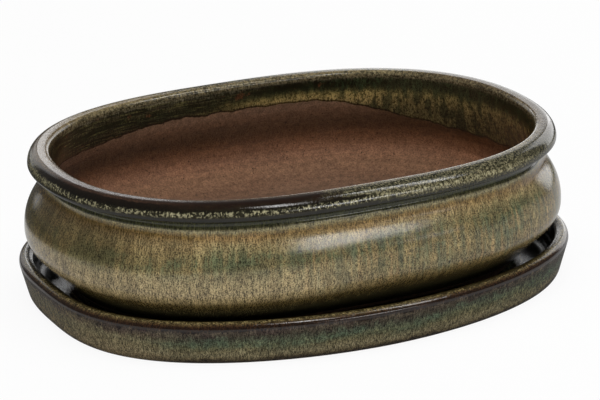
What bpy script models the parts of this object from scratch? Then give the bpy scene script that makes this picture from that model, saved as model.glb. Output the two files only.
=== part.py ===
"""An oval stoneware bonsai pot standing in its drip saucer, in metres, +Z up.

The origin is on the ground under the middle of the saucer, and the long side runs along X.
Both pieces are oval shells: a side profile is carried round an oval outline, and each point
of a profile is its distance outwards from that outline and its height.
"""

import math

import bmesh
import bpy
from mathutils import Vector

# Pot: the mouth's outline, the height over the feet, and the wall
MOUTH_LENGTH = 0.2700
MOUTH_WIDTH = 0.1900
POT_SIDE_POWER = 2.78
POT_END_POWER = 2.21
POT_HEIGHT = 0.0796
WALL = 0.0085
POT_FLOOR = 0.0090

# Pot: rolled lip, measured outwards from the mouth and down from the top
LIP_WIDTH = 0.0123
LIP_DEPTH = 0.0092
LIP_INNER_RADIUS = 0.0025
LIP_ROUND_WIDTH = 0.0065
LIP_ROUND_HEIGHT = 0.0080
LIP_UNDER_RADIUS = 0.0012

# Pot: groove under the lip, and the belly under the groove
NECK_OFFSET = 0.0082
NECK_HEIGHT = 0.0027
NECK_SWEEP = 35.0
SHOULDER_OFFSET = 0.0091
SHOULDER_DEPTH = 0.0060
BELLY_OFFSET = 0.0147
BELLY_HEIGHT = 0.0348
BELLY_RADIUS = 0.0140
BASE_OFFSET = -0.0083
BASE_RADIUS = 0.0025
HOLLOW_RADIUS = 0.0300

# Pot: four feet under the base, and two drain holes through the floor
FOOT_HEIGHT = 0.0060
FOOT_WIDTH = 0.0130
FOOT_LENGTH = 0.0480
FOOT_INSET = 0.0035
FOOT_TAPER = 0.0012
FOOT_EDGE = 0.0012
HOLE_DIAMETER = 0.0160
HOLE_SPACING = 0.1200

# Saucer: how far its rim stands out beyond the belly at the ends and at the sides
END_MARGIN = 0.0017
SIDE_MARGIN = 0.0097
SAUCER_SIDE_POWER = 1.90
SAUCER_END_POWER = 2.77
SAUCER_HEIGHT = 0.0245
SAUCER_FLOOR = 0.0065
SAUCER_RIM_WIDTH = 0.0080
SAUCER_RIM_RADIUS = 0.0035
SAUCER_RIM_DROP = 0.0025
SAUCER_FLARE = 0.0042
SAUCER_BASE_RADIUS = 0.0048
SAUCER_HOLLOW_RADIUS = 0.0080
SAUCER_FOOT_RING = 0.0140
SAUCER_RECESS = 0.0012

# Clearance between the pot's feet and the saucer's floor
SEAT_GAP = 0.0003

# Mesh fineness, and the angle in degrees over which an edge is shown sharp
OUTLINE_POINTS = 88
FINE_OUTLINE_POINTS = 720
ARC_STEPS = 5
CURVE_STEPS = 7
FOOT_STEPS = 8
HOLE_SIDES = 32
SHARP_ANGLE = 40

# Cutters and joined shapes run past the faces that they meet by this much
OVERRUN = 0.0030


def new_material(name, colour, roughness, metallic):
    material = bpy.data.materials.new(name)
    material.use_nodes = True
    shader = material.node_tree.nodes["Principled BSDF"]
    shader.inputs["Base Color"].default_value = (*colour, 1.0)
    shader.inputs["Roughness"].default_value = roughness
    shader.inputs["Metallic"].default_value = metallic
    return material


def new_object(name, mesh, material):
    obj = bpy.data.objects.new(name, mesh)
    bpy.context.scene.collection.objects.link(obj)
    mesh.materials.append(material)
    mesh.shade_smooth()
    mesh.set_sharp_from_angle(angle=math.radians(SHARP_ANGLE))
    return obj


def signed_power(value, power):
    return math.copysign(abs(value) ** power, value)


def oval(length, width, side_power, end_power, count):
    """Evenly spaced points round |x/a|^side_power + |y/b|^end_power = 1, with outward normals."""
    half_length = length / 2
    half_width = width / 2
    dense = []
    for step in range(40 * count):
        angle = 2 * math.pi * step / (40 * count)
        x = half_length * signed_power(math.cos(angle), 2 / side_power)
        y = half_width * signed_power(math.sin(angle), 2 / end_power)
        dense.append(Vector((x, y)))
    travelled = [0.0]
    for start, end in zip(dense, dense[1:] + dense[:1]):
        travelled.append(travelled[-1] + (end - start).length)
    points = []
    index = 0
    for step in range(count):
        wanted = travelled[-1] * step / count
        while travelled[index + 1] < wanted:
            index += 1
        share = (wanted - travelled[index]) / (travelled[index + 1] - travelled[index])
        point = dense[index].lerp(dense[(index + 1) % len(dense)], share)
        slope_x = side_power / half_length * signed_power(point.x / half_length, side_power - 1)
        slope_y = end_power / half_width * signed_power(point.y / half_width, end_power - 1)
        points.append((point, Vector((slope_x, slope_y)).normalized()))
    return points


def arc(centre, radii, start, end, steps=ARC_STEPS):
    """Points of an elliptical arc from one angle to another, in degrees, both ends included."""
    points = []
    for step in range(steps + 1):
        direction = heading(start + (end - start) * step / steps)
        points.append((centre[0] + radii[0] * direction.x, centre[1] + radii[1] * direction.y))
    return points


def heading(angle):
    return Vector((math.cos(math.radians(angle)), math.sin(math.radians(angle))))


def curve(start, start_angle, end, end_angle, steps=CURVE_STEPS, fullness=0.38):
    """Points of a smooth curve between two points, with its direction at each end in degrees."""
    start = Vector(start)
    end = Vector(end)
    reach = (end - start).length * fullness
    first = start + reach * heading(start_angle)
    second = end - reach * heading(end_angle)
    points = []
    for step in range(steps + 1):
        t = step / steps
        rest = 1 - t
        near_start = rest ** 3 * start + 3 * rest ** 2 * t * first
        near_end = 3 * rest * t ** 2 * second + t ** 3 * end
        point = near_start + near_end
        points.append((point.x, point.y))
    return points


def tangent_angle(point, centre, radius):
    """The angle, in degrees, at which a line from a point below just touches the outside of a circle."""
    across = point[0] - centre[0]
    down = point[1] - centre[1]
    reach = math.hypot(across, down)
    return math.degrees(math.atan2(down, across) + math.acos(radius / reach))


def without_repeats(profile):
    kept = [profile[0]]
    for point in profile[1:]:
        if math.dist(point, kept[-1]) > 1e-5:
            kept.append(point)
    return kept


def carried_round(outline, profile, name):
    """A closed mesh: the profile at every point of the outline, with a flat face at each of its ends."""
    shape = bmesh.new()
    rings = []
    for offset, height in without_repeats(profile):
        ring = []
        for point, normal in outline:
            place = point + normal * offset
            ring.append(shape.verts.new((place.x, place.y, height)))
        rings.append(ring)
    count = len(outline)
    for lower, upper in zip(rings, rings[1:]):
        for step in range(count):
            after = (step + 1) % count
            shape.faces.new((lower[step], lower[after], upper[after], upper[step]))
    shape.faces.new(list(reversed(rings[0])))
    shape.faces.new(rings[-1])
    bmesh.ops.recalc_face_normals(shape, faces=shape.faces)
    mesh = bpy.data.meshes.new(name)
    shape.to_mesh(mesh)
    shape.free()
    return mesh


def pot_profile():
    """From the underside out and up over the belly and the lip, then down inside to the floor."""
    belly_centre = (BELLY_OFFSET - BELLY_RADIUS, BELLY_HEIGHT)
    touch = tangent_angle((BASE_OFFSET, FOOT_HEIGHT), belly_centre, BELLY_RADIUS)
    corner_start = (BASE_OFFSET - BASE_RADIUS, FOOT_HEIGHT)
    corner_end = Vector((BASE_OFFSET, FOOT_HEIGHT)) + BASE_RADIUS * heading(touch + 90)
    base_corner = curve(corner_start, 0, corner_end, touch + 90, steps=3)
    belly_turn = arc(belly_centre, (BELLY_RADIUS, BELLY_RADIUS), touch, 0)

    lip_bottom = POT_HEIGHT - LIP_DEPTH
    neck_centre = (LIP_WIDTH - LIP_UNDER_RADIUS, lip_bottom - NECK_HEIGHT)
    neck_radii = (neck_centre[0] - NECK_OFFSET, NECK_HEIGHT)
    neck = arc(neck_centre, neck_radii, 180 + NECK_SWEEP, 90)
    lowest = heading(180 + NECK_SWEEP)
    neck_angle = math.degrees(math.atan2(-neck_radii[1] * lowest.x, neck_radii[0] * lowest.y))
    shoulder_top = (SHOULDER_OFFSET, lip_bottom - SHOULDER_DEPTH)
    upper_belly = curve((BELLY_OFFSET, BELLY_HEIGHT), 90, shoulder_top, 90)
    shoulder = curve(shoulder_top, 90, neck[0], neck_angle, steps=3)

    under_centre = (LIP_WIDTH - LIP_UNDER_RADIUS, lip_bottom + LIP_UNDER_RADIUS)
    lip_under = arc(under_centre, (LIP_UNDER_RADIUS, LIP_UNDER_RADIUS), -90, 0, steps=3)
    round_centre = (LIP_WIDTH - LIP_ROUND_WIDTH, POT_HEIGHT - LIP_ROUND_HEIGHT)
    lip_round = arc(round_centre, (LIP_ROUND_WIDTH, LIP_ROUND_HEIGHT), 0, 90, steps=7)
    inner_centre = (LIP_INNER_RADIUS, POT_HEIGHT - LIP_INNER_RADIUS)
    lip_inner = arc(inner_centre, (LIP_INNER_RADIUS, LIP_INNER_RADIUS), 90, 180, steps=3)

    hollow_side = BELLY_OFFSET - WALL
    hollow_rise = BELLY_HEIGHT - FOOT_HEIGHT - POT_FLOOR
    inner_wall = curve((0, lip_bottom), 270, (hollow_side, BELLY_HEIGHT), 270)
    hollow_centre = (hollow_side - HOLLOW_RADIUS, BELLY_HEIGHT)
    inner_floor = arc(hollow_centre, (HOLLOW_RADIUS, hollow_rise), 0, -90, steps=8)
    outside = base_corner + belly_turn + upper_belly + shoulder + neck
    return outside + lip_under + lip_round + lip_inner + inner_wall + inner_floor


def hide(helper):
    helper.hide_render = True
    helper.display_type = "WIRE"


def combine(obj, helper, operation):
    step = obj.modifiers.new(helper.name, "BOOLEAN")
    step.operation = operation
    step.solver = "EXACT"
    step.object = helper
    hide(helper)


def foot_shape(name, fine_outline, centre_share, material):
    """A low bar under the base that follows the outline for the length of one foot."""
    count = len(fine_outline)
    spacing = (fine_outline[1][0] - fine_outline[0][0]).length
    outer = BASE_OFFSET - FOOT_INSET
    inner = outer - FOOT_WIDTH
    section = (
        (outer, FOOT_HEIGHT + OVERRUN),
        (outer - FOOT_TAPER, 0.0),
        (inner + FOOT_TAPER, 0.0),
        (inner, FOOT_HEIGHT + OVERRUN),
    )
    shape = bmesh.new()
    rows = []
    for step in range(FOOT_STEPS + 1):
        along = (step / FOOT_STEPS - 0.5) * FOOT_LENGTH
        point, normal = fine_outline[round(centre_share * count + along / spacing) % count]
        row = []
        for offset, height in section:
            place = point + normal * offset
            row.append(shape.verts.new((place.x, place.y, height)))
        rows.append(row)
    for first, second in zip(rows, rows[1:]):
        for corner in range(4):
            after = (corner + 1) % 4
            shape.faces.new((first[corner], first[after], second[after], second[corner]))
    shape.faces.new(rows[0])
    shape.faces.new(list(reversed(rows[-1])))
    bmesh.ops.recalc_face_normals(shape, faces=shape.faces)
    mesh = bpy.data.meshes.new(name)
    shape.to_mesh(mesh)
    shape.free()
    foot = new_object(name, mesh, material)
    edge = foot.modifiers.new("edge", "BEVEL")
    edge.width = FOOT_EDGE
    edge.segments = 2
    edge.limit_method = "ANGLE"
    edge.angle_limit = math.radians(SHARP_ANGLE)
    return foot


def hole_cutter(name, x, material):
    bottom = FOOT_HEIGHT - OVERRUN
    top = FOOT_HEIGHT + POT_FLOOR + OVERRUN
    shape = bmesh.new()
    bmesh.ops.create_cone(
        shape,
        cap_ends=True,
        segments=HOLE_SIDES,
        radius1=HOLE_DIAMETER / 2,
        radius2=HOLE_DIAMETER / 2,
        depth=top - bottom,
    )
    bmesh.ops.translate(shape, verts=shape.verts, vec=(x, 0, (top + bottom) / 2))
    mesh = bpy.data.meshes.new(name)
    shape.to_mesh(mesh)
    shape.free()
    return new_object(name, mesh, material)


def make_pot(lift):
    glaze = new_material("pot_glaze", (0.30, 0.25, 0.14), 0.25, 0.0)
    size = (MOUTH_LENGTH, MOUTH_WIDTH, POT_SIDE_POWER, POT_END_POWER)
    mesh = carried_round(oval(*size, OUTLINE_POINTS), pot_profile(), "pot")
    pot = new_object("pot", mesh, glaze)
    fine_outline = oval(*size, FINE_OUTLINE_POINTS)
    helpers = []
    for number in range(4):
        foot = foot_shape(f"foot_{number + 1}", fine_outline, number / 4 + 1 / 8, glaze)
        combine(pot, foot, "UNION")
        helpers.append(foot)
    for number, side in enumerate((-1, 1)):
        hole = hole_cutter(f"drain_hole_{number + 1}", side * HOLE_SPACING / 2, glaze)
        combine(pot, hole, "DIFFERENCE")
        helpers.append(hole)
    for piece in [pot] + helpers:
        piece.parent = lift
    return pot


def saucer_profile():
    """From the recessed underside out and up to the rim, then down inside to the floor."""
    foot_out = -SAUCER_FLARE - SAUCER_BASE_RADIUS
    foot_in = foot_out - SAUCER_FOOT_RING
    underside = [(foot_in - SAUCER_RECESS, SAUCER_RECESS), (foot_in, 0.0)]
    rim_base = SAUCER_HEIGHT - SAUCER_RIM_RADIUS
    wall_angle = math.degrees(math.atan2(rim_base - SAUCER_BASE_RADIUS, SAUCER_FLARE))
    corner = curve((foot_out, 0.0), 0, (-SAUCER_FLARE, SAUCER_BASE_RADIUS), wall_angle, steps=5)
    rim_outer = arc(
        (-SAUCER_RIM_RADIUS, rim_base),
        (SAUCER_RIM_RADIUS, SAUCER_RIM_RADIUS),
        wall_angle - 90,
        90,
    )
    rim_inner = arc(
        (-SAUCER_RIM_RADIUS, SAUCER_HEIGHT - SAUCER_RIM_DROP),
        (SAUCER_RIM_WIDTH - SAUCER_RIM_RADIUS, SAUCER_RIM_DROP),
        90,
        180,
    )
    basin = arc(
        (-SAUCER_RIM_WIDTH - SAUCER_HOLLOW_RADIUS, SAUCER_FLOOR + SAUCER_HOLLOW_RADIUS),
        (SAUCER_HOLLOW_RADIUS, SAUCER_HOLLOW_RADIUS),
        0,
        -90,
    )
    return underside + corner + rim_outer + rim_inner + basin


def make_saucer():
    glaze = new_material("saucer_glaze", (0.13, 0.13, 0.08), 0.25, 0.0)
    outline = oval(
        MOUTH_LENGTH + 2 * (BELLY_OFFSET + END_MARGIN),
        MOUTH_WIDTH + 2 * (BELLY_OFFSET + SIDE_MARGIN),
        SAUCER_SIDE_POWER,
        SAUCER_END_POWER,
        OUTLINE_POINTS,
    )
    return new_object("saucer", carried_round(outline, saucer_profile(), "saucer"), glaze)


def main():
    for obj in list(bpy.data.objects):
        bpy.data.objects.remove(obj, do_unlink=True)
    make_saucer()
    lift = bpy.data.objects.new("pot_lift", None)
    bpy.context.scene.collection.objects.link(lift)
    lift.location.z = SAUCER_FLOOR + SEAT_GAP
    make_pot(lift)


main()
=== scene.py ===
"""Glazed oval bonsai pot in its drip saucer, on a white table, in metres with +Z up."""

import math

import bmesh
import bpy
import numpy as np
from mathutils import Matrix, Quaternion, Vector


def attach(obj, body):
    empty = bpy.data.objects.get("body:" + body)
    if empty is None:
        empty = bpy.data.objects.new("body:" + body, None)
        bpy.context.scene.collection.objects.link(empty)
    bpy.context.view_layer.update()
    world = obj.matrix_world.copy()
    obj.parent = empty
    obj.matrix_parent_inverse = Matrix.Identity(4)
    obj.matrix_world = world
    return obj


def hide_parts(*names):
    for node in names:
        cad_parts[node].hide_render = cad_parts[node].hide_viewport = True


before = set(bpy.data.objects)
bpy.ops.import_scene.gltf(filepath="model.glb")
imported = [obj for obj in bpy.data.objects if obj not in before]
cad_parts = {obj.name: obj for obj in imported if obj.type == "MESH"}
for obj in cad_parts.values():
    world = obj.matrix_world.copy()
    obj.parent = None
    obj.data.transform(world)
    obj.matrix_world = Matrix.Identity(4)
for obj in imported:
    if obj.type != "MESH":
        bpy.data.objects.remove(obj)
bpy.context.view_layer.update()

# Pot, with the CAD's lengths: mouth outline, lip, groove, belly, base, feet and drain holes
MOUTH = (0.1350, 0.0950, 2.78, 2.21)
LIFT = 0.0068
POT_HEIGHT = 0.0796
WALL = 0.0085
POT_FLOOR = 0.0090
LIP_WIDTH = 0.0123
LIP_DEPTH = 0.0092
LIP_INNER_RADIUS = 0.0025
LIP_ROUND_WIDTH = 0.0065
LIP_ROUND_HEIGHT = 0.0080
LIP_UNDER_RADIUS = 0.0012
NECK_OFFSET = 0.0082
NECK_HEIGHT = 0.0027
NECK_SWEEP = 35.0
SHOULDER_OFFSET = 0.0091
SHOULDER_DEPTH = 0.0060
BELLY_OFFSET = 0.0147
BELLY_HEIGHT = 0.0348
BELLY_RADIUS = 0.0140
BASE_OFFSET = -0.0083
BASE_RADIUS = 0.0025
HOLLOW_RADIUS = 0.0300
FOOT_HEIGHT = 0.0060
FOOT_WIDTH = 0.0130
FOOT_LENGTH = 0.0480
FOOT_INSET = 0.0035
FOOT_TAPER = 0.0012
HOLE_RADIUS = 0.0080
HOLE_SPACING = 0.1200

# Where the pot departs from the CAD. BELLY_FULLNESS moves the upper belly curve by up to about
# 1 mm. END_SHAPE gives a change of offset for each height: it deepens the groove and fills the
# belly towards both ends, from |x| = ENDS_FROM and fully from ENDS_TO on, on the part of the
# profile that lies further out than OUTSIDE. The feet and drain holes get rounded edges.
BELLY_FULLNESS = (0.54, 0.26)
ENDS_FROM = 0.085
ENDS_TO = 0.118
END_SHAPE = (
    (0.030, 0.0), (0.036, 0.0003), (0.042, 0.0006), (0.047, 0.0006), (0.0505, 0.0004),
    (0.0539, 0.0), (0.0574, -0.0006), (0.0608, -0.0015), (0.0643, -0.0028), (0.068, -0.0037),
    (0.0745, -0.0037), (0.0772, 0.0),
)
END_BLUR = 0.0015
OUTSIDE = NECK_OFFSET - 0.0005
FOOT_EDGE = 0.0012
HOLE_ROUNDING = 0.0012

# Saucer, with the CAD's lengths
RIM = (0.1514, 0.1194, 1.90, 2.77)
SAUCER_HEIGHT = 0.0245
SAUCER_FLOOR = 0.0065
SAUCER_RIM_WIDTH = 0.0080
SAUCER_RIM_RADIUS = 0.0035
SAUCER_RIM_DROP = 0.0025
SAUCER_FLARE = 0.0042
SAUCER_BASE_RADIUS = 0.0048
SAUCER_HOLLOW_RADIUS = 0.0080
SAUCER_FOOT_RING = 0.0140
SAUCER_RECESS = 0.0012

# Mesh fineness: points round each outline, step and turn along a profile, rings that close an
# end, the angle from which an edge is sharp, and the same for the feet and holes. The overlap and
# overrun let the feet and hole cutters reach past the pot's base.
AROUND = 480
DENSE = 5760
OVERSAMPLE = 40
STEP_LENGTH = 0.0014
STEP_TURN = 8.0
CAP_SHARES = (0.8, 0.6, 0.4, 0.2, 0.05)
SHARP_ANGLE = 42.0
SAME_POINT = 1e-6
FOOT_OUTLINE = 1440
FOOT_ROWS = 25
FOOT_OVERLAP = 0.003
FOOT_EDGE_STEPS = 4
FOOT_EDGE_ANGLE = 30.0
HOLE_SIDES = 72
HOLE_EDGE_STEPS = 8
HOLE_OVERRUN = 0.002

# Search for each vertex's place on the glaze: points per coarse step, step along the profile,
# vertices handled at a time, and how far under the top the crest may be found
COARSE = 8
FINE_STEP = 0.0002
BLOCK = 4000
CREST_MARGIN = 1e-5

# Camera: view direction in degrees, distance, aim point's height and shifts, focal length in pixels
VIEW_ELEVATION = 19.193
VIEW_AZIMUTH = -25.623
VIEW_ROLL = -0.853
VIEW_DISTANCE = 1.70715
VIEW_FOCAL = 3098.11
AIM_HEIGHT = 0.040
AIM_RIGHT = 0.002666
AIM_UP = 0.006211
FRAME_WIDTH = 600.0
SENSOR_WIDTH = 36
VIEW_END = 20


def oval(size, count):
    """Evenly spaced points round |x/a|^p + |y/b|^q = 1, and their outward normals."""
    a, b, p, q = size
    angle = np.linspace(0, 2 * np.pi, OVERSAMPLE * count, endpoint=False)
    x = a * np.sign(np.cos(angle)) * np.abs(np.cos(angle)) ** (2 / p)
    y = b * np.sign(np.sin(angle)) * np.abs(np.sin(angle)) ** (2 / q)
    closed = np.column_stack([np.append(x, x[0]), np.append(y, y[0])])
    travelled = travelled_along(closed)
    wanted = travelled[-1] * np.arange(count) / count
    points = np.column_stack([np.interp(wanted, travelled, closed[:, k]) for k in (0, 1)])
    slope_x = p / a * np.sign(points[:, 0]) * np.abs(points[:, 0] / a) ** (p - 1)
    slope_y = q / b * np.sign(points[:, 1]) * np.abs(points[:, 1] / b) ** (q - 1)
    normals = np.column_stack([slope_x, slope_y])
    return points, normals / np.linalg.norm(normals, axis=1)[:, None]


def travelled_along(line):
    """The way travelled along a line at each of its points."""
    return np.append(0, np.cumsum(np.hypot(*np.diff(line, axis=0).T)))


def heading(angle):
    """The direction at an angle in degrees."""
    return np.array((math.cos(math.radians(angle)), math.sin(math.radians(angle))))


def arc(centre, radii, start, end, steps=40):
    """Points on an upright ellipse from one angle to another, in degrees."""
    angles = np.radians(np.linspace(start, end, steps + 1))
    across = centre[0] + radii[0] * np.cos(angles)
    return np.column_stack([across, centre[1] + radii[1] * np.sin(angles)])


def curve(start, start_angle, end, end_angle, steps=40, fullness=(0.38, 0.38)):
    """A cubic curve that leaves start and reaches end at these angles; fullness gives the length
    of its two handles as shares of the chord."""
    start, end = np.array(start), np.array(end)
    chord = np.hypot(*(end - start))
    first = start + chord * fullness[0] * heading(start_angle)
    second = end - chord * fullness[1] * heading(end_angle)
    t = np.linspace(0, 1, steps + 1)[:, None]
    rest = 1 - t
    return rest ** 3 * start + 3 * rest ** 2 * t * first + 3 * rest * t ** 2 * second + t ** 3 * end


def pot_profile():
    """Offset and height from the underside up over belly and lip, then down inside to the floor."""
    belly_centre = (BELLY_OFFSET - BELLY_RADIUS, BELLY_HEIGHT)
    across, down = BASE_OFFSET - belly_centre[0], FOOT_HEIGHT - belly_centre[1]
    opening = math.acos(BELLY_RADIUS / math.hypot(across, down))
    touch = math.degrees(math.atan2(down, across) + opening)
    corner_end = np.array((BASE_OFFSET, FOOT_HEIGHT)) + BASE_RADIUS * heading(touch + 90)
    base_corner = curve((BASE_OFFSET - BASE_RADIUS, FOOT_HEIGHT), 0, corner_end, touch + 90)
    belly_turn = arc(belly_centre, (BELLY_RADIUS, BELLY_RADIUS), touch, 0)
    lip_bottom = POT_HEIGHT - LIP_DEPTH
    neck_centre = (LIP_WIDTH - LIP_UNDER_RADIUS, lip_bottom - NECK_HEIGHT)
    neck_radii = (neck_centre[0] - NECK_OFFSET, NECK_HEIGHT)
    neck = arc(neck_centre, neck_radii, 180 + NECK_SWEEP, 90)
    lowest = heading(180 + NECK_SWEEP)
    neck_angle = math.degrees(math.atan2(-neck_radii[1] * lowest[0], neck_radii[0] * lowest[1]))
    shoulder_top = (SHOULDER_OFFSET, lip_bottom - SHOULDER_DEPTH)
    belly_side = (BELLY_OFFSET, BELLY_HEIGHT)
    upper_belly = curve(belly_side, 90, shoulder_top, 90, fullness=BELLY_FULLNESS)
    shoulder = curve(shoulder_top, 90, neck[0], neck_angle)
    under_centre = (LIP_WIDTH - LIP_UNDER_RADIUS, lip_bottom + LIP_UNDER_RADIUS)
    lip_under = arc(under_centre, (LIP_UNDER_RADIUS, LIP_UNDER_RADIUS), -90, 0)
    round_centre = (LIP_WIDTH - LIP_ROUND_WIDTH, POT_HEIGHT - LIP_ROUND_HEIGHT)
    lip_round = arc(round_centre, (LIP_ROUND_WIDTH, LIP_ROUND_HEIGHT), 0, 90)
    inner_centre = (LIP_INNER_RADIUS, POT_HEIGHT - LIP_INNER_RADIUS)
    lip_inner = arc(inner_centre, (LIP_INNER_RADIUS, LIP_INNER_RADIUS), 90, 180)
    hollow_side = BELLY_OFFSET - WALL
    inner_wall = curve((0, lip_bottom), 270, (hollow_side, BELLY_HEIGHT), 270)
    floor_centre = (hollow_side - HOLLOW_RADIUS, BELLY_HEIGHT)
    floor_radii = (HOLLOW_RADIUS, BELLY_HEIGHT - FOOT_HEIGHT - POT_FLOOR)
    inner_floor = arc(floor_centre, floor_radii, 0, -90)
    parts = [base_corner, belly_turn, upper_belly, shoulder, neck, lip_under, lip_round, lip_inner]
    return np.vstack(parts + [inner_wall, inner_floor]) + (0, LIFT)


def saucer_profile():
    """Offset and height from the recessed underside up to the rim, then down to the floor."""
    foot_out = -SAUCER_FLARE - SAUCER_BASE_RADIUS
    foot_in = foot_out - SAUCER_FOOT_RING
    underside = np.array([(foot_in - SAUCER_RECESS, SAUCER_RECESS), (foot_in, 0.0)])
    rim_base = SAUCER_HEIGHT - SAUCER_RIM_RADIUS
    wall_angle = math.degrees(math.atan2(rim_base - SAUCER_BASE_RADIUS, SAUCER_FLARE))
    corner = curve((foot_out, 0.0), 0, (-SAUCER_FLARE, SAUCER_BASE_RADIUS), wall_angle)
    outer_radii = (SAUCER_RIM_RADIUS, SAUCER_RIM_RADIUS)
    rim_outer = arc((-SAUCER_RIM_RADIUS, rim_base), outer_radii, wall_angle - 90, 90)
    inner_radii = (SAUCER_RIM_WIDTH - SAUCER_RIM_RADIUS, SAUCER_RIM_DROP)
    inner_centre = (-SAUCER_RIM_RADIUS, SAUCER_HEIGHT - SAUCER_RIM_DROP)
    rim_inner = arc(inner_centre, inner_radii, 90, 180)
    basin_centre = (-SAUCER_RIM_WIDTH - SAUCER_HOLLOW_RADIUS, SAUCER_FLOOR + SAUCER_HOLLOW_RADIUS)
    basin = arc(basin_centre, (SAUCER_HOLLOW_RADIUS, SAUCER_HOLLOW_RADIUS), 0, -90)
    return np.vstack([underside, corner, rim_outer, rim_inner, basin])


def without_repeats(profile):
    """The profile without points that repeat the one before."""
    return profile[np.append(True, np.hypot(*np.diff(profile, axis=0).T) > SAME_POINT)]


def respaced(profile):
    """Points along a profile, closer together where it bends."""
    profile = without_repeats(profile)
    steps = np.diff(profile, axis=0)
    angles = np.unwrap(np.arctan2(steps[:, 1], steps[:, 0]))
    turns = np.abs(np.append(np.append(0, np.diff(angles)), 0))
    measure = travelled_along(profile) / STEP_LENGTH + np.cumsum(turns) / math.radians(STEP_TURN)
    count = int(round(measure[-1]))
    wanted = np.linspace(0, measure[-1], count + 1)
    return np.column_stack([np.interp(wanted, measure, profile[:, k]) for k in (0, 1)])


def end_change(height):
    """How far the pot's outside moves out or in at its ends at one height."""
    heights, changes = zip(*END_SHAPE)
    return np.interp(height + END_BLUR * np.linspace(-1, 1, 9), heights, changes).mean()


def add_object(name, data):
    obj = bpy.data.objects.new(name, data)
    bpy.context.scene.collection.objects.link(obj)
    return obj


def shell(name, size, profile, outside=None):
    """A closed mesh: the profile carried round the outline, each end closed by shrinking rings.
    Rings that lie further out than outside take the change of shape at the ends."""
    points, normals = oval(size, AROUND)
    reach = np.clip((np.abs(points[:, :1]) - ENDS_FROM) / (ENDS_TO - ENDS_FROM), 0, 1)
    reach = reach * reach * (3 - 2 * reach)
    rings = []
    for offset, height in respaced(profile):
        change = end_change(height) if outside is not None and offset > outside else 0
        place = points + normals * (offset + change * reach)
        rings.append(np.column_stack([place, np.full(AROUND, height)]))
    start = [rings[0] * (share, share, 1) for share in reversed(CAP_SHARES)]
    end = [rings[-1] * (share, share, 1) for share in CAP_SHARES]
    rings = np.array(start + rings + end)
    levels = len(rings)
    index = np.arange(levels * AROUND).reshape(levels, AROUND)
    after = np.roll(index, -1, axis=1)
    faces = np.stack([index[:-1], after[:-1], after[1:], index[1:]], axis=-1).reshape(-1, 4)
    mesh = bpy.data.meshes.new(name)
    all_faces = faces.tolist() + [index[0][::-1].tolist(), index[-1].tolist()]
    mesh.from_pydata(rings.reshape(-1, 3).tolist(), [], all_faces)
    mesh.validate()
    return add_object(name, mesh)


def closed_tube(name, rings, bevel=None):
    """A closed helper object from rings of corners, with bevelled edges where bevel is given."""
    shape = bmesh.new()
    rows = [[shape.verts.new(corner) for corner in ring] for ring in rings]
    for first, second in zip(rows, rows[1:]):
        for corner in range(len(first)):
            after = (corner + 1) % len(first)
            shape.faces.new((first[corner], first[after], second[after], second[corner]))
    shape.faces.new(list(reversed(rows[0])))
    shape.faces.new(rows[-1])
    bmesh.ops.recalc_face_normals(shape, faces=shape.faces)
    if bevel:
        limit = math.radians(FOOT_EDGE_ANGLE)
        sharp = [edge for edge in shape.edges if edge.calc_face_angle(0) > limit]
        bmesh.ops.bevel(shape, geom=sharp, offset=bevel, segments=FOOT_EDGE_STEPS, profile=0.5,
                        affect="EDGES")
    mesh = bpy.data.meshes.new(name)
    shape.to_mesh(mesh)
    shape.free()
    return add_object(name, mesh)


def foot_shape(number, outline):
    """A low rounded bar under the base that follows the outline for the length of one foot. The
    four feet lie in the middle of the outline's quarters."""
    points, normals = outline
    spacing = np.hypot(*(points[1] - points[0]))
    middle = round((number / 4 + 1 / 8) * len(points))
    outer = BASE_OFFSET - FOOT_INSET
    inner = outer - FOOT_WIDTH
    top = LIFT + FOOT_HEIGHT + FOOT_OVERLAP
    section = ((outer, top), (outer - FOOT_TAPER, LIFT), (inner + FOOT_TAPER, LIFT), (inner, top))
    rings = []
    for share in np.linspace(-0.5, 0.5, FOOT_ROWS):
        step = (middle + round(share * FOOT_LENGTH / spacing)) % len(points)
        rings.append([(*(points[step] + normals[step] * offset), height)
                      for offset, height in section])
    return closed_tube(f"foot_{number + 1}", rings, FOOT_EDGE)


def hole_shape(name, x):
    """A spool that cuts a drain hole and rounds both of its edges."""
    bottom = LIFT + FOOT_HEIGHT
    top = bottom + POT_FLOOR
    wide, e = HOLE_RADIUS + HOLE_ROUNDING, HOLE_ROUNDING
    lower = arc((wide, bottom + e), (e, e), 270, 180, HOLE_EDGE_STEPS).tolist()
    upper = arc((wide, top - e), (e, e), 180, 90, HOLE_EDGE_STEPS).tolist()
    side = [(wide, bottom - HOLE_OVERRUN)] + lower + upper + [(wide, top + HOLE_OVERRUN)]
    ways = [heading(360 * step / HOLE_SIDES) for step in range(HOLE_SIDES)]
    rings = [[(x + radius * way[0], radius * way[1], height) for way in ways]
             for radius, height in side]
    return closed_tube(name, rings)


def combine(obj, helpers):
    """Joins the feet to obj's mesh and cuts the holes out of it, and removes the helpers."""
    for helper, operation in helpers:
        step = obj.modifiers.new(helper.name, "BOOLEAN")
        step.operation = operation
        step.solver = "EXACT"
        step.object = helper
    bpy.context.view_layer.update()
    evaluated = obj.evaluated_get(bpy.context.evaluated_depsgraph_get())
    result = bpy.data.meshes.new_from_object(evaluated)
    obj.modifiers.clear()
    obj.data = result
    for helper, _ in helpers:
        bpy.data.objects.remove(helper, do_unlink=True)


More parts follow.
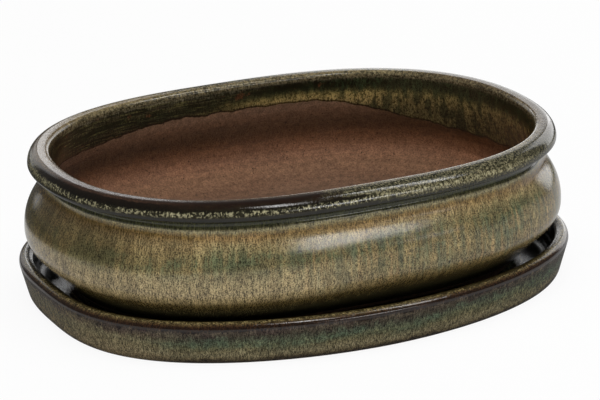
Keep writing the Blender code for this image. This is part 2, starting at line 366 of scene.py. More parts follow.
def nearest_points(places, points):
    """The number of the outline point nearest to each place, seen from above."""
    nearest = np.zeros(len(places), int)
    for start in range(0, len(places), BLOCK):
        block = places[start:start + BLOCK, None, :2]
        coarse = COARSE * np.argmin(((block - points[None, ::COARSE]) ** 2).sum(-1), axis=1)
        window = (coarse[:, None] + np.arange(-COARSE, COARSE + 1)) % len(points)
        closest = np.argmin(((block - points[window]) ** 2).sum(-1), axis=1)
        nearest[start:start + BLOCK] = window[np.arange(len(window)), closest]
    return nearest


def way_from_crest(section, profile, crest_height):
    """How far along the profile from its crest each pair of offset and height lies, outwards
    positive."""
    profile = without_repeats(profile)
    way = travelled_along(profile)
    fine = np.linspace(0, way[-1], int(way[-1] / FINE_STEP))
    line = np.column_stack([np.interp(fine, way, profile[:, k]) for k in (0, 1)])
    crest = fine[np.argmax(line[:, 1] > crest_height)]
    run = np.zeros(len(section))
    for start in range(0, len(section), BLOCK):
        gap = ((section[start:start + BLOCK, None] - line[None]) ** 2).sum(-1)
        run[start:start + BLOCK] = crest - fine[np.argmin(gap, axis=1)]
    return run


def mark(mesh, size, profile, crest_height):
    """Stores on each vertex where it lies on the glaze: the outline point that it belongs to and
    the way along the profile from the crest, outwards positive, all in millimetres."""
    places = np.zeros(len(mesh.vertices) * 3)
    mesh.vertices.foreach_get("co", places)
    places = places.reshape(-1, 3)
    points, normals = oval(size, DENSE)
    nearest = nearest_points(places, points)
    offset = ((places[:, :2] - points[nearest]) * normals[nearest]).sum(-1)
    run = way_from_crest(np.column_stack([offset, places[:, 2]]), profile, crest_height)
    attribute = mesh.attributes.new("flow", "FLOAT_VECTOR", "POINT")
    attribute.data.foreach_set("vector", (np.column_stack([points[nearest], run]) * 1000).ravel())


def smooth(mesh):
    mesh.shade_smooth()
    mesh.set_sharp_from_angle(angle=math.radians(SHARP_ANGLE))


pot = shell("pot_glazed", MOUTH, pot_profile(), OUTSIDE)
foot_outline = oval(MOUTH, FOOT_OUTLINE)
helpers = [(foot_shape(number, foot_outline), "UNION") for number in range(4)]
for number, side in enumerate((-1, 1)):
    helpers.append((hole_shape(f"drain_{number + 1}", side * HOLE_SPACING / 2), "DIFFERENCE"))
combine(pot, helpers)
mark(pot.data, MOUTH, pot_profile(), LIFT + POT_HEIGHT - CREST_MARGIN)
smooth(pot.data)

saucer = shell("saucer_glazed", RIM, saucer_profile())
mark(saucer.data, RIM, saucer_profile(), SAUCER_HEIGHT - CREST_MARGIN)
smooth(saucer.data)


def linear(colour):
    """A colour written as 0 to 255 screen values, as the linear values that shaders take."""
    parts = []
    for value in colour:
        share = value / 255
        parts.append(share / 12.92 if share <= 0.04045 else ((share + 0.055) / 1.055) ** 2.4)
    return (*parts, 1.0)


class Look:
    """A material and short ways to add nodes to it."""

    def __init__(self, name):
        self.material = bpy.data.materials.new(name)
        self.material.use_nodes = True
        self.tree = self.material.node_tree
        self.shader = self.tree.nodes["Principled BSDF"]

    def put(self, socket, value):
        """Links a socket to another, or gives it a value; None leaves it as it is."""
        if isinstance(value, bpy.types.NodeSocket):
            self.tree.links.new(value, socket)
        elif value is not None:
            socket.default_value = value

    def node(self, kind, **settings):
        node = self.tree.nodes.new("ShaderNode" + kind)
        for key, value in settings.items():
            setattr(node, key, value)
        return node

    def filled(self, kind, *values, **settings):
        """The first output of a new node whose inputs get these values in their order."""
        node = self.node(kind, **settings)
        for socket, value in zip(node.inputs, values):
            self.put(socket, value)
        return node.outputs[0]

    def math(self, operation, *values):
        return self.filled("Math", *values, operation=operation)

    def times(self, *values):
        """The product of all the values."""
        product = values[0]
        for value in values[1:]:
            product = self.math("MULTIPLY", product, value)
        return product

    def spread(self, noise, width):
        """Noise from 0 to 1 made into a shift of half the width to either side."""
        return self.math("MULTIPLY_ADD", noise, width, -width / 2)

    def parts(self, vector):
        """The x, y and z of a vector."""
        node = self.node("SeparateXYZ")
        self.put(node.inputs[0], vector)
        return node.outputs

    def own_place(self):
        """The place in the object's own axes, in metres."""
        return self.node("TexCoord").outputs["Object"]

    def placed(self, vector, scale, shift=(0, 0, 0)):
        return self.filled("VectorMath", vector, scale, shift, operation="MULTIPLY_ADD")

    def oval_reach(self, half_x, half_y):
        """How far out a place lies, where an oval with these half widths is at 1."""
        node = self.node("VectorMath", operation="LENGTH")
        self.put(node.inputs[0], self.placed(self.own_place(), (1 / half_x, 1 / half_y, 0)))
        return node.outputs["Value"]

    def noise(self, vector, size, shift, detail=2.0, roughness=0.5, low=0.0, high=1.0):
        """Noise whose grains measure size along each direction. The shift makes it differ from
        other noise, and low to high is stretched to 0 to 1."""
        scale = tuple(1 / value for value in size)
        node = self.node("TexNoise")
        place = self.placed(vector, scale, (shift, shift * 1.7, shift * 0.6))
        self.put(node.inputs["Vector"], place)
        node.inputs["Scale"].default_value = 1.0
        node.inputs["Detail"].default_value = detail
        node.inputs["Roughness"].default_value = roughness
        if (low, high) == (0.0, 1.0):
            return node.outputs[0]
        return self.band(node.outputs[0], low, high)

    def band(self, value, low, high, bottom=0.0, top=1.0, smooth=True):
        """The value from low to high made into bottom to top, and held there beyond."""
        node = self.node("MapRange", interpolation_type="SMOOTHSTEP" if smooth else "LINEAR")
        self.put(node.inputs["Value"], value)
        names = ("From Min", "From Max", "To Min", "To Max")
        for name, number in zip(names, (low, high, bottom, top)):
            self.put(node.inputs[name], number)
        return node.outputs[0]

    def ramp(self, noise, bottom, top):
        """Noise from 0 to 1 made evenly into bottom to top."""
        return self.band(noise, 0.0, 1.0, bottom, top, smooth=False)

    def mix(self, share, first, second, blend="MIX"):
        """The first colour, covered by the second as much as the share says."""
        node = self.node("Mix", data_type="RGBA", blend_type=blend)
        # The Mix node takes its colours at inputs 6 and 7 and gives one at output 2
        for number, value in ((0, share), (6, first), (7, second)):
            self.put(node.inputs[number], value)
        return node.outputs[2]

    def mix_normals(self, share, first, second):
        node = self.node("Mix", data_type="VECTOR")
        # The Mix node takes its vectors at inputs 4 and 5 and gives one at output 1
        for number, value in ((0, share), (4, first), (5, second)):
            self.put(node.inputs[number], value)
        return node.outputs[1]

    def stain(self, base, colour, *shares):
        """The base colour under a second one, which covers as much as the product of the shares."""
        return self.mix(self.times(*shares), base, linear(colour))

    def along(self, place, stops):
        """A colour or number for each place along a line, from stops of (millimetres, value)."""
        first, last = stops[0][0], stops[-1][0]
        node = self.node("ValToRGB")
        elements = node.color_ramp.elements
        while len(elements) < len(stops):
            elements.new(0.5)
        for element, (position, _) in zip(elements, stops):
            element.position = (position - first) / (last - first)
        for element, (_, value) in zip(elements, stops):
            number = isinstance(value, float)
            element.color = (value, value, value, 1) if number else linear(value)
        self.put(node.inputs[0], self.band(place, first, last, smooth=False))
        return node.outputs[0]

    def bump(self, height, distance, normal=None):
        node = self.node("Bump")
        self.put(node.inputs["Height"], height)
        node.inputs["Distance"].default_value = distance
        self.put(node.inputs["Normal"], normal)
        return node.outputs[0]

    def finish(self, colour, roughness, normal):
        self.put(self.shader.inputs["Base Color"], colour)
        self.put(self.shader.inputs["Roughness"], roughness)
        self.put(self.shader.inputs["Normal"], normal)
        self.shader.inputs["IOR"].default_value = GLAZE_IOR
        return self.material

    def finish_with(self, surface):
        self.put(self.tree.nodes["Material Output"].inputs["Surface"], surface)
        return self.material


class GlazeLook(Look):
    """A glaze whose colours follow the stored place on it: x and y on the outline, and the run
    along the profile. Each noise is given by its grain size and shift."""

    def __init__(self, name, hair, streak, grain, drift):
        super().__init__(name)
        self.flow = self.node("Attribute", attribute_name="flow").outputs["Vector"]
        self.x, self.y, self.run = self.parts(self.flow)
        self.hair = self.noise(self.flow, *hair, 2.0, 0.6, 0.34, 0.66)
        self.streak = self.noise(self.flow, *streak, 3.0, 0.6, 0.32, 0.68)
        self.drift = self.noise(self.flow, *drift, 2.0, 0.5)
        grain = self.noise(self.flow, *grain, 1.0, 0.5, 0.36, 0.64)
        halves = [self.math("MULTIPLY", noise, 0.5) for noise in (self.hair, grain)]
        self.fine = self.math("ADD", *halves)

    def fray(self, wander, fray, fringe, share):
        """Sets the level: the run, shifted so that borders between glaze bands wander widely and
        fray along streaks and hairs."""
        shift = self.math("ADD", self.spread(self.drift, wander), self.spread(self.streak, fray))
        shift = self.math("ADD", shift, self.spread(self.hair, fringe))
        self.level = self.math("MULTIPLY_ADD", shift, share, self.run)

    def clouds(self, size, shift, streak_share, hair_share):
        """Cloudy noise that is drawn out along streaks and hairs."""
        noise = self.noise(self.flow, size, shift, 3.0, 0.6)
        noise = self.math("MULTIPLY_ADD", self.hair, hair_share, noise)
        return self.math("MULTIPLY_ADD", self.streak, streak_share, noise)


MILLIMETRES = (1000, 1000, 1000)
GLAZE_IOR = 1.5
GLAZE_GLOSS = (0.03, 0.08)
CLAY_ROUGHNESS = (0.9, 0.9, 0.9, 1)
FINE_BUMP = 0.00002

# Colours along the pot's profile: millimetres from the crest, outwards positive
# Both lip ramps end near black in the crease under the lip, which is painted shade.
DARK_LIP = (
    (-12.0, (30, 27, 16)), (-7.5, (92, 82, 60)), (-3.5, (88, 73, 54)), (-2.0, (58, 43, 33)),
    (-0.4, (28, 15, 9)), (2.0, (27, 12, 5)), (4.2, (28, 17, 8)), (6.6, (20, 18, 9)),
    (7.4, (36, 34, 22)), (8.6, (42, 39, 27)), (9.8, (32, 28, 16)), (11.0, (18, 16, 7)),
    (12.5, (10, 10, 5)),
)
PALE_LIP = (
    (-12.0, (30, 27, 16)), (-8.5, (92, 83, 62)), (-5.5, (116, 103, 73)), (-3.0, (120, 106, 80)),
    (-0.8, (88, 82, 65)), (0.6, (54, 53, 38)), (2.5, (60, 59, 43)), (4.6, (72, 69, 50)),
    (6.2, (70, 66, 46)), (8.0, (78, 73, 52)), (9.6, (74, 69, 47)), (10.8, (32, 31, 16)),
    (12.5, (10, 10, 5)),
)
# The body ramp is darkened to near black in the groove under the lip as painted shade, lighter on
# the shoulder line as a painted highlight, and darker towards the underside, partly as painted
# shade.
BODY_WITH_PAINTED_SHADE = (
    (12.5, (12, 12, 5)), (15.5, (30, 31, 15)), (17.5, (42, 43, 22)), (18.8, (52, 52, 29)),
    (19.8, (92, 86, 60)), (20.9, (126, 117, 85)), (22.2, (106, 91, 54)), (23.6, (106, 84, 44)),
    (25.5, (130, 109, 73)), (28.5, (138, 122, 86)), (33.0, (118, 107, 74)), (38.0, (112, 100, 68)),
    (45.0, (122, 108, 72)), (52.0, (116, 102, 69)), (57.0, (109, 95, 65)), (61.0, (94, 80, 49)),
    (66.0, (77, 65, 37)), (72.0, (62, 56, 35)), (80.0, (52, 50, 33)),
)
# Bare clay along the hollow: darker in a band below the glaze line, painted shade of the rim with a
# slightly darker clay tint, and lighter where the wall turns into the floor, as painted light.
CLAY_WITH_PAINTED_SHADE = (
    (-120.0, (100, 77, 61)), (-85.0, (102, 78, 61)), (-72.0, (110, 81, 61)),
    (-62.0, (140, 104, 78)), (-55.0, (166, 121, 92)), (-50.5, (168, 120, 88)),
    (-46.5, (146, 102, 71)), (-42.5, (117, 79, 50)), (-38.0, (93, 64, 38)), (-33.0, (102, 73, 49)),
    (-28.0, (126, 92, 67)), (-24.0, (134, 102, 78)), (84.0, (136, 104, 80)),
)
# On the left the inner glaze is lighter at its top, on the lip's rounded inner edge, as a painted
# highlight.
LEFT_GLAZE_WITH_PAINTED_HIGHLIGHT = (
    (-42.0, (70, 62, 40)), (-30.0, (84, 70, 46)), (-24.0, (76, 62, 43)), (-21.0, (62, 52, 35)),
    (-18.0, (52, 51, 34)), (-16.3, (34, 36, 19)), (-14.5, (58, 53, 34)), (-12.0, (60, 54, 39)),
    (-10.5, (50, 46, 33)), (-8.8, (104, 97, 78)),
)
INNER_GLAZE = (
    (-42.0, (120, 112, 72)), (-30.0, (140, 128, 84)), (-24.0, (158, 138, 88)),
    (-21.0, (166, 144, 90)), (-18.2, (160, 140, 86)), (-16.6, (108, 98, 58)), (-15.0, (50, 50, 28)),
    (-13.0, (18, 22, 11)), (-10.2, (12, 13, 7)), (-8.8, (62, 58, 44)),
)
# How strongly fine marks show, and how far the glaze's borders fray, along the same profile
FINE_ZONE = (
    (-24.0, 0.7), (-8.0, 0.5), (0.0, 0.35), (12.0, 0.5), (21.0, 0.8), (30.0, 1.0), (60.0, 1.0),
    (76.0, 0.7),
)
FRAY_ZONE = (
    (-24.0, 1.2), (-12.0, 0.9), (-5.0, 0.5), (2.0, 0.4), (12.0, 0.4), (20.0, 0.45), (34.0, 1.0),
)

# How much more or less green the belly is along its length
GREEN_PLACES = (
    (-150.0, 0.0), (-127.0, 0.05), (-118.0, 0.0), (-108.0, -0.10), (-92.0, -0.08), (-82.0, 0.10),
    (-70.0, 0.13), (-54.0, 0.02), (-26.0, 0.06), (0.0, 0.10), (34.0, 0.08), (50.0, 0.0),
    (66.0, 0.10), (80.0, -0.04), (96.0, -0.08), (106.0, 0.0), (150.0, 0.0),
)


def pot_lip(look):
    """The lip is dark on the left of the front, paler and mottled on the right and at the back."""
    flow, x, y, run, level = look.flow, look.x, look.y, look.run, look.level
    slant = look.math("SUBTRACT", x, look.band(run, 4.6, 6.8, 0.0, 34.0))
    pale_right = look.band(look.math("MULTIPLY_ADD", look.drift, 90.0, slant), 8.0, 34.0)
    pale_back = look.band(look.math("MULTIPLY_ADD", look.drift, 40.0, y), 0.0, 45.0)
    pale = look.math("MAXIMUM", pale_right, pale_back)
    lip = look.mix(pale, look.along(level, DARK_LIP), look.along(level, PALE_LIP))
    smear = look.noise(flow, (9.0, 9.0, 3.0), 19.0, 3.0, 0.6, 0.45, 0.68)
    smear_zone = look.along(run, ((-3.0, 0.0), (0.0, 0.6), (5.0, 0.6), (8.0, 0.3), (11.0, 0.0)))
    lip = look.stain(lip, (70, 66, 48), smear_zone, look.band(pale, 0.0, 1.0, 0.12, 1.0), smear)
    spots = look.noise(flow, (1.7, 1.7, 1.5), 21.0, 2.0, 0.65, 0.43, 0.57)
    lip = look.stain(lip, (26, 26, 14), spots, look.band(pale, 0.0, 1.0, 0.2, 0.8))
    flecks = look.noise(flow, (1.1, 1.1, 1.2), 23.0, 2.0, 0.7, 0.51, 0.59)
    fleck_stops = ((-6.0, 0.3), (-3.0, 0.45), (3.0, 0.35), (9.0, 0.6), (11.0, 0.1), (12.0, 0.0))
    lip = look.stain(lip, (164, 154, 120), flecks, look.along(run, fleck_stops), pale)
    beads = look.noise(flow, (1.2, 1.2, 1.7), 25.0, 2.0, 0.7, 0.50, 0.58)
    bead_zone = look.along(level, ((6.3, 0.0), (7.1, 1.0), (8.7, 0.9), (9.8, 0.0)))
    lip = look.stain(lip, (152, 146, 116), beads, bead_zone, 0.9)

    crest_zone = look.along(run, ((-6.5, 0.0), (-4.0, 0.8), (-0.5, 1.0), (1.5, 0.7), (4.0, 0.0)))
    crest_place = look.times(look.band(x, -20.0, -50.0), look.band(y, -6.0, 22.0))
    lip = look.stain(lip, (132, 114, 80), crest_zone, crest_place, 0.55)
    dark_zone = look.along(run, ((0.0, 0.0), (2.5, 1.0), (10.0, 1.0), (12.0, 0.0)))
    lip = look.stain(lip, (36, 37, 26), look.band(x, 76.0, 100.0, 0.0, 0.5), dark_zone)

    # Both ends are browner, and the left one has a dark band on its outer face, a painted dark
    # reflection
    ends = look.math("MAXIMUM", look.band(x, -84.0, -124.0), look.band(x, 96.0, 130.0))
    ends_zone = look.along(run, ((-7.5, 0.3), (-3.0, 1.0), (3.0, 1.0), (5.5, 0.0)))
    lip = look.stain(lip, (66, 46, 34), ends_zone, 0.55, ends)
    dark_face_reflection_zone = look.along(level, ((2.2, 0.0), (2.8, 1.0), (5.8, 1.0), (6.8, 0.0)))
    dark_face_reflection_place = look.times(look.band(x, -84.0, -112.0), look.band(y, 26.0, 4.0))
    return look.stain(lip, (14, 9, 4), dark_face_reflection_zone, dark_face_reflection_place, 0.9)


def pot_belly(look, colour):
    """Blue-green clouds, orange breaks and cool and warm runs on the belly, with a pale painted
    reflection of the table low on the left and a dark painted reflection high on the left end.
    """
    flow, x, run = look.flow, look.x, look.run
    green_stops = ((24.0, 0.0), (29.0, 0.4), (35.0, 1.0), (46.0, 0.9), (52.0, 0.4), (60.0, 0.0))
    clouds = look.clouds((30.0, 30.0, 13.0), 17.0, 0.26, 0.18)
    clouds = look.band(look.math("ADD", clouds, look.along(x, GREEN_PLACES)), 0.67, 0.88)
    colour = look.stain(colour, (70, 78, 56), clouds, look.along(run, green_stops), 0.85)
    orange_stops = ((21.0, 0.0), (23.5, 1.0), (32.0, 0.7), (46.0, 0.35), (56.0, 0.1), (60.0, 0.0))
    orange = look.noise(flow, (20.0, 20.0, 8.0), 31.0, 3.0, 0.6, 0.45, 0.66)
    colour = look.stain(colour, (124, 99, 64), orange, look.along(run, orange_stops), 0.5)

    run_zone = look.along(run, ((30.0, 0.0), (37.0, 1.0), (56.0, 1.0), (62.0, 0.0)))
    run_place = look.times(look.band(x, -66.0, -40.0), run_zone)
    runs = look.noise(flow, (2.6, 2.6, 26.0), 47.0, 2.0, 0.55)
    colour = look.stain(colour, (80, 88, 70), look.band(runs, 0.52, 0.64), run_place, 0.42)
    colour = look.stain(colour, (142, 114, 76), look.band(runs, 0.46, 0.34), run_place, 0.42)

    # A pale painted reflection of the white table on the lower belly, towards the left.
    painted_reflection_zone = look.along(run, ((40.0, 0.0), (47.0, 1.0), (57.0, 1.0), (63.0, 0.0)))
    colour = look.stain(colour, (142, 126, 93), look.band(x, 10.0, -60.0), painted_reflection_zone, 0.6)
    # A dark painted reflection, which stands in for shade, on the upper belly at the left end.
    painted_dark_reflection_zone = look.along(run, ((21.0, 0.0), (24.0, 1.0), (40.0, 1.0), (45.0, 0.0)))
    return look.stain(colour, (72, 58, 28), look.band(x, -106.0, -128.0), painted_dark_reflection_zone, 0.55)


def pot_inside(look):
    """The glazed band inside the mouth, lined on the left and with runs on the right."""
    flow, x, level = look.flow, look.x, look.level
    left = look.band(x, 42.0, -28.0)
    inner = look.mix(left, look.along(level, INNER_GLAZE), look.along(level, LEFT_GLAZE_WITH_PAINTED_HIGHLIGHT))
    bright = look.noise(flow, (15.0, 15.0, 1.2), 33.0, 3.0, 0.65, 0.52, 0.62)
    inner = look.stain(inner, (104, 98, 58), left, 0.55, bright)
    lines = look.noise(flow, (20.0, 20.0, 1.1), 35.0, 3.0, 0.65, 0.46, 0.55)
    inner = look.stain(inner, (16, 19, 8), left, 0.85, lines)
    runs = look.noise(flow, (5.0, 5.0, 12.0), 41.0, 3.0, 0.65, 0.46, 0.58)
    inner = look.stain(inner, (42, 52, 32), runs, look.band(x, 45.0, 80.0, 0.15, 0.8))
    rust = look.noise(flow, (8.0, 8.0, 6.0), 45.0, 3.0, 0.6, 0.60, 0.7)
    inner = look.stain(inner, (104, 62, 38), rust, look.band(x, 80.0, 55.0), 0.5)
    inner = look.stain(inner, (66, 66, 42), look.band(x, 78.0, 112.0, 0.0, 0.4))
    spots = look.noise(flow, (1.4, 1.4, 1.8), 37.0, 3.0, 0.65, 0.50, 0.60)
    return look.stain(inner, (28, 28, 13), spots, 0.72)


def pot_shade(look):
    """Hair-fine streaks, grain, blotches and drips, as a factor for the glaze's colour."""
    blotch = look.noise(look.flow, (1.6, 1.6, 7.0), 11.0, 2.0, 0.6, 0.32, 0.68)
    drip = look.noise(look.flow, (4.6, 4.6, 22.0), 15.0, 2.0, 0.5, 0.34, 0.66)
    shade = look.band(look.fine, 0.15, 0.85, 0.28, 1.94, smooth=False)
    shade = look.times(shade, look.ramp(blotch, 0.88, 1.12), look.ramp(drip, 0.84, 1.16))
    departure = look.math("SUBTRACT", shade, 1.0)
    return look.math("MULTIPLY_ADD", departure, look.along(look.run, FINE_ZONE), 1.0)


def pot_clay(look):
    """The colour and normal of the bare clay, with painted shade in a band below the glaze line and
    painted light where the wall turns into the floor, and with mottling, grit, lumps, rings and
    dark pins.
    """
    place = look.placed(look.own_place(), MILLIMETRES)
    mottle = look.noise(place, (30.0, 30.0, 30.0), 3.0, 3.0, 0.5, 0.25, 0.75)
    grit = look.noise(place, (0.9, 0.9, 0.9), 7.0, 3.0, 0.7, 0.32, 0.68)
    lumps = look.noise(place, (3.2, 3.2, 3.2), 27.0, 3.0, 0.6, 0.3, 0.7)
    rings = look.noise(look.flow, (60.0, 60.0, 2.6), 11.0, 2.0, 0.5, 0.35, 0.65)
    # The clay ramp carries painted shade below the glaze line and painted light on the floor of the
    # hollow.
    clay = look.stain(look.along(look.run, CLAY_WITH_PAINTED_SHADE), (120, 92, 72), mottle, 0.35)
    shade = look.times(look.ramp(grit, 0.68, 1.32), look.ramp(rings, 0.93, 1.07),
                       look.ramp(lumps, 0.82, 1.18))
    clay = look.mix(1.0, clay, shade, "MULTIPLY")
    pins = look.noise(place, (1.1, 1.1, 1.1), 15.0, 0.0, 0.5, 0.775, 0.80)
    clay = look.stain(clay, (44, 28, 20), pins, 0.8)
    return clay, look.bump(look.math("ADD", grit, look.math("MULTIPLY", rings, 0.8)), 0.00012)


def pot_look():
    look = GlazeLook("pot_glaze_look",
                     hair=((0.52, 0.52, 2.8), 1.0), streak=((3.2, 3.2, 24.0), 5.0),
                     grain=((0.54, 0.54, 0.6), 9.0), drift=((14.0, 14.0, 14.0), 13.0))
    x, run = look.x, look.run
    look.fray(3.6, 1.5, 1.3, look.along(run, FRAY_ZONE))
    # The body ramp carries painted shade in the groove and towards the underside, and a painted
    # highlight on the shoulder line.
    colour = look.mix(look.band(run, 12.2, 12.8), pot_lip(look), look.along(look.level, BODY_WITH_PAINTED_SHADE))
    colour = pot_belly(look, colour)
    colour = look.mix(look.band(run, -8.0, -9.5), colour, pot_inside(look))
    colour = look.mix(1.0, colour, pot_shade(look), "MULTIPLY")

    # Inside, the glaze ends in a wavy line with a thickened edge; clay is bare under it and below
    line_right = look.band(x, 55.0, 136.0, -21.5, -39.5)
    line = look.math("ADD", line_right, look.band(x, -20.0, -112.0, 0.0, -5.0))
    waver = look.noise(look.flow, (11.0, 11.0, 400.0), 43.0, 3.0, 0.55)
    line = look.math("ADD", line, look.spread(waver, 5.0))
    above_line = look.math("SUBTRACT", run, line)
    edge_line = look.times(look.band(above_line, -0.2, 0.2), look.band(above_line, 1.7, 0.6))
    colour = look.stain(colour, (34, 24, 12), edge_line, 0.8)
    bare_below = look.band(look.math("MULTIPLY_ADD", look.drift, 2.0, run), 84.0, 85.0)
    bare = look.math("MAXIMUM", look.band(above_line, 0.25, -0.25), bare_below)
    clay, clay_normal = pot_clay(look)
    colour = look.mix(bare, colour, clay)

    dull = look.along(run, ((8.5, 0.0), (11.0, 0.08), (17.5, 0.08), (20.0, 0.0)))
    gloss = look.math("ADD", look.ramp(look.streak, *GLAZE_GLOSS), dull)
    normal = look.bump(look.noise(look.flow, (9.0, 9.0, 16.0), 51.0, 2.0, 0.5), 0.00006)
    normal = look.bump(look.fine, FINE_BUMP, normal)
    normal = look.bump(look.band(above_line, -0.4, 1.2), 0.0004, normal)
    normal = look.mix_normals(bare, normal, clay_normal)
    return look.finish(colour, look.mix(bare, gloss, CLAY_ROUGHNESS), normal)


# Glaze colours along the saucer's profile: millimetres from the crest, outwards positive
SAUCER_GLAZE = (
    (-30.0, (22, 20, 13)), (-6.0, (24, 19, 9)), (-4.0, (30, 22, 9)), (-2.4, (52, 43, 21)),
    (-0.8, (94, 84, 53)), (0.6, (116, 104, 70)), (1.7, (94, 79, 50)), (2.6, (52, 36, 19)),
    (3.6, (34, 20, 10)), (5.4, (30, 19, 11)), (6.8, (68, 60, 49)), (9.0, (60, 54, 43)),
    (11.0, (62, 62, 49)), (13.0, (76, 79, 60)), (15.5, (82, 81, 58)), (18.0, (94, 87, 63)),
    (21.0, (104, 96, 73)), (23.0, (86, 77, 56)), (24.6, (50, 43, 32)), (29.0, (34, 30, 22)),
)
SAUCER_SHADOW = (
    (-60.0, 0.0), (-30.0, 0.35), (15.0, 0.4), (45.0, 1.0), (95.0, 1.0), (118.0, 0.0),
)


def saucer_look():
    look = GlazeLook("saucer_glaze_look",
                     hair=((0.54, 0.54, 2.4), 61.0), streak=((4.0, 4.0, 10.0), 65.0),
                     grain=((0.56, 0.56, 0.7), 69.0), drift=((24.0, 24.0, 12.0), 73.0))
    flow, x, run = look.flow, look.x, look.run
    look.fray(4.0, 1.8, 0.9, look.band(run, 2.0, 9.0, 0.3, 1.0))
    level = look.level
    colour = look.along(level, SAUCER_GLAZE)
    green_stops = ((7.0, 0.0), (10.0, 0.8), (12.5, 1.0), (16.0, 0.9), (20.0, 0.2), (23.0, 0.0))
    clouds = look.band(look.clouds((26.0, 26.0, 9.0), 77.0, 0.16, 0.08), 0.58, 0.78)
    colour = look.stain(colour, (60, 73, 58), clouds, look.along(run, green_stops), 0.7)
    # The left end of the saucer's wall is made paler as painted light.
    painted_light_end = look.times(look.band(x, -104.0, -136.0), look.band(level, 6.0, 10.0))
    colour = look.stain(colour, (120, 106, 80), painted_light_end, 0.5)
    plum_zone = look.along(run, ((5.0, 0.0), (6.5, 1.0), (9.5, 0.9), (12.0, 0.0)))
    plum = look.noise(flow, (22.0, 22.0, 7.0), 79.0, 3.0, 0.6, 0.46, 0.62)
    colour = look.stain(colour, (52, 40, 38), plum, plum_zone, 0.6)
    rim_zone = look.along(run, ((-5.0, 0.2), (-3.0, 0.8), (1.6, 1.0), (2.8, 0.0)))
    rim_spots = look.noise(flow, (1.5, 1.5, 0.9), 81.0, 2.0, 0.65, 0.48, 0.55)
    colour = look.stain(colour, (34, 24, 9), rim_spots, rim_zone, 0.9)
    shadow = look.times(look.along(x, SAUCER_SHADOW), look.band(look.y, 0.0, -40.0))
    colour = look.stain(colour, (26, 20, 9), shadow, look.band(level, 1.4, 0.2), 0.75)

    blotch = look.noise(flow, (1.6, 1.6, 2.4), 71.0, 2.0, 0.6, 0.36, 0.64)
    shade = look.band(look.fine, 0.15, 0.85, 0.34, 1.76, smooth=False)
    shade = look.times(shade, look.ramp(blotch, 0.74, 1.26), look.ramp(look.streak, 0.85, 1.15))
    colour = look.mix(1.0, colour, shade, "MULTIPLY")

    # The foot ring that it stands on is bare clay
    place = look.placed(look.own_place(), MILLIMETRES)
    bare = look.band(look.parts(place)[2], 0.9, 0.5)
    grit = look.noise(place, (1.3, 1.3, 1.3), 7.0, 3.0, 0.65, 0.32, 0.68)
    clay = look.mix(grit, linear((104, 74, 55)), linear((150, 115, 90)))
    colour = look.mix(bare, colour, clay)
    roughness = look.mix(bare, look.ramp(look.streak, *GLAZE_GLOSS), CLAY_ROUGHNESS)
    normal = look.bump(look.noise(flow, (9.0, 9.0, 14.0), 85.0, 2.0, 0.5), 0.00007)
    return look.finish(colour, roughness, look.bump(look.fine, FINE_BUMP, normal))


pot.data.materials.append(pot_look())
saucer.data.materials.append(saucer_look())

for piece, node in ((pot, "pot"), (saucer, "saucer")):
    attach(piece, node)
    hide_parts(node)


def add_camera():
    angles = (math.radians(angle) for angle in (VIEW_ELEVATION, VIEW_AZIMUTH, VIEW_ROLL))
    elevation, azimuth, roll = angles
    level = math.cos(elevation)
    back = Vector((math.sin(azimuth) * level, -math.cos(azimuth) * level, math.sin(elevation)))
    right = Vector((math.cos(azimuth), math.sin(azimuth), 0))
    up = back.cross(right)
    across = right * math.cos(roll) + up * math.sin(roll)
    upward = up * math.cos(roll) - right * math.sin(roll)
    place = Vector((0, 0, AIM_HEIGHT)) + across * AIM_RIGHT + upward * AIM_UP + back * VIEW_DISTANCE
    data = bpy.data.cameras.new("camera")
    data.sensor_width = SENSOR_WIDTH
    data.lens = VIEW_FOCAL / FRAME_WIDTH * SENSOR_WIDTH
    data.clip_end = VIEW_END
    camera = add_object("camera", data)
    turn = Matrix((across, upward, back)).transposed().to_4x4()
    camera.matrix_world = Matrix.Translation(place) @ turn
    bpy.context.scene.camera = camera


add_camera()

# Floor: half its width, how bright it looks to the camera and adds in reflections, what it and
# the dark beyond it reflect, and where the reflected table darkens: behind the object, where it
# ends, and close round and under the object, as a painted shadow seen only in reflections
FLOOR_HALF = 4.0
FLOOR_WHITE = 0.93
FLOOR_GLOSS_WHITE = 0.35
FLOOR_COLOUR = (0.85, 0.85, 0.85, 1)
FLOOR_ROUGHNESS = 0.9
DARK_COLOUR = (0.02, 0.02, 0.02, 1)
TABLE_BACK = (0.15, 0.22)
TABLE_BACK_DARK = 0.92
TABLE_NEAR = (1.12, 1.25)
TABLE_NEAR_PAINTED_SHADOW = (0.85, 0.25)


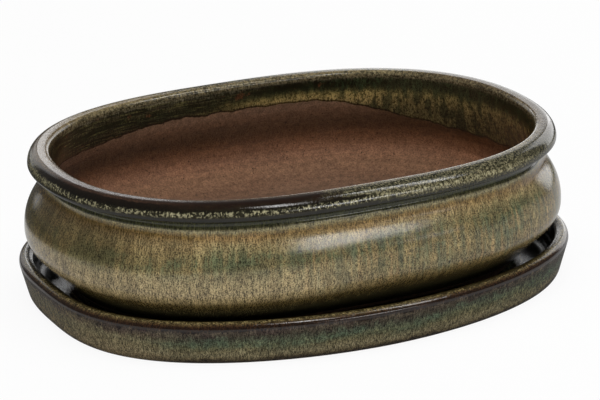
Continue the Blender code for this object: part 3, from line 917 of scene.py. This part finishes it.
def floor_look():
    """White to the camera and in reflections, with the object's soft shadow kept; the reflected
    table carries a painted shadow close to the object and ends a little way behind it."""
    look = Look("floor_look")
    look.shader.inputs["Base Color"].default_value = FLOOR_COLOUR
    look.shader.inputs["Roughness"].default_value = FLOOR_ROUGHNESS
    rays = look.node("LightPath").outputs
    reflected = look.math("MAXIMUM", rays["Is Glossy Ray"], rays["Is Transmission Ray"])
    seen = look.math("MULTIPLY", rays["Is Camera Ray"], FLOOR_WHITE)
    share = look.math("MULTIPLY_ADD", reflected, FLOOR_GLOSS_WHITE, seen)
    glow = look.node("Emission").outputs[0]
    white = look.filled("MixShader", share, look.shader.outputs[0], glow)
    # A painted shadow on the reflected table close round the object
    near = look.band(look.oval_reach(RIM[0], RIM[1]), *TABLE_NEAR, *TABLE_NEAR_PAINTED_SHADOW)
    behind = look.band(look.parts(look.own_place())[1], *TABLE_BACK, 0.0, TABLE_BACK_DARK)
    darkened = look.math("MULTIPLY", reflected, look.math("MAXIMUM", near, behind))
    dark = look.filled("BsdfDiffuse", DARK_COLOUR)
    table = look.filled("MixShader", darkened, white, dark)
    from_below = look.node("NewGeometry").outputs["Backfacing"]
    clear = look.node("BsdfTransparent").outputs[0]
    return look.finish_with(look.filled("MixShader", from_below, table, clear))


def add_sheet(name, half_x, half_y):
    corners = [(half_x * x, half_y * y, 0) for x, y in ((-1, -1), (1, -1), (1, 1), (-1, 1))]
    mesh = bpy.data.meshes.new(name)
    mesh.from_pydata(corners, [], [(0, 1, 2, 3)])
    return add_object(name, mesh)


floor = add_sheet("floor", FLOOR_HALF, FLOOR_HALF)
floor.data.materials.append(floor_look())


def turn_towards(place, target):
    return (Vector(place) - Vector(target)).to_track_quat("Z", "Y")


def add_lamp(name, place, target, size, radiance, kinds="both", roll=0.0):
    """A rectangular lamp at place that faces target; radiance is how bright its face looks, and
    kinds says whether it lights diffusely, shows in reflections or both."""
    data = bpy.data.lights.new(name, "AREA")
    data.shape = "RECTANGLE"
    data.size, data.size_y = size
    data.energy = radiance * math.pi * size[0] * size[1]
    lamp = add_object(name, data)
    lamp.location = place
    turn = turn_towards(place, target) @ Quaternion((0, 0, 1), math.radians(roll))
    lamp.rotation_euler = turn.to_euler()
    lamp.visible_camera = False
    lamp.visible_glossy = kinds != "diffuse"
    lamp.visible_diffuse = kinds != "glossy"


def add_card(name, place, target, size, radiance, core):
    """A glowing oval card that shows in reflections only; it fades from its core to its edge."""
    half_x, half_y = size[0] / 2, size[1] / 2
    card = add_sheet(name, half_x, half_y)
    card.location = place
    card.rotation_euler = turn_towards(place, target).to_euler()
    look = Look(name + "_look")
    fading = look.band(look.oval_reach(half_x, half_y), 1.0, core)
    glow = look.node("Emission")
    look.put(glow.inputs["Strength"], look.math("MULTIPLY", fading, radiance))
    clear = look.node("BsdfTransparent").outputs[0]
    added = look.filled("AddShader", glow.outputs[0], clear)
    card.data.materials.append(look.finish_with(added))
    card.visible_camera = False
    card.visible_diffuse = False
    card.visible_shadow = False


# Name, place, target, size, radiance, kinds and roll
LAMPS = (
    ("top", (0.0, -0.30, 1.50), (0, 0, 0.05), (1.2, 1.2), 4.6, "diffuse"),
    ("front_low", (-0.50, -1.30, 0.17), (0, 0, 0.10), (2.2, 0.34), 3.6, "diffuse"),
    ("back_left", (-0.14, 1.0, 0.43), (-0.14, 0.0, 0.43), (0.44, 0.46), 0.75),
    ("back_low", (-0.21, 1.0, 0.10), (-0.21, 0.0, 0.10), (0.30, 0.16), 0.6),
    ("back_middle", (0.18, 1.0, 0.44), (0.18, 0.0, 0.44), (0.13, 0.24), 2.4),
    ("back_edge", (0.289, 1.0, 0.465), (0.289, 0.0, 0.465), (0.138, 0.07), 2.6),
    ("back_line", (0.51, 1.0, 0.20), (0.51, 0.0, 0.20), (0.20, 0.28), 2.8),
    ("right_panel", (0.98, 0.575, 0.38), (0.0, 0.575, 0.38), (0.75, 0.76), 1.8),
    ("right_strip", (0.62, -0.475, 1.05), (0, -0.09, 0.08), (0.11, 0.66), 11.0, "glossy", -26.0),
    ("front_high", (0.11, -0.78, 1.17), (-0.03, -0.09, 0.085), (0.17, 0.40), 12.0, "glossy"),
)
# Name, place, target, size, radiance and core
CARDS = (
    ("back_right", (0.80, 1.0, 0.26), (0.80, 0.0, 0.26), (0.80, 0.52), 1.6, 0.8),
    ("front_glow", (0.41, -1.26, 0.38), (0.0, -0.11, 0.075), (0.78, 0.19), 8.5, 0.4),
    ("front_glint", (0.78, -1.27, 0.16), (0.05, -0.10, 0.07), (0.50, 0.11), 3.0, 0.3),
)
for lamp in LAMPS:
    add_lamp(*lamp)
for card in CARDS:
    add_card(*card)

WORLD_COLOUR = (1, 1, 1, 1)
WORLD_STRENGTH = 0.12

world = bpy.data.worlds.new("room")
bpy.context.scene.world = world
world.use_nodes = True
background = world.node_tree.nodes["Background"]
background.inputs["Color"].default_value = WORLD_COLOUR
background.inputs["Strength"].default_value = WORLD_STRENGTH

bpy.context.scene.view_settings.view_transform = "Standard"
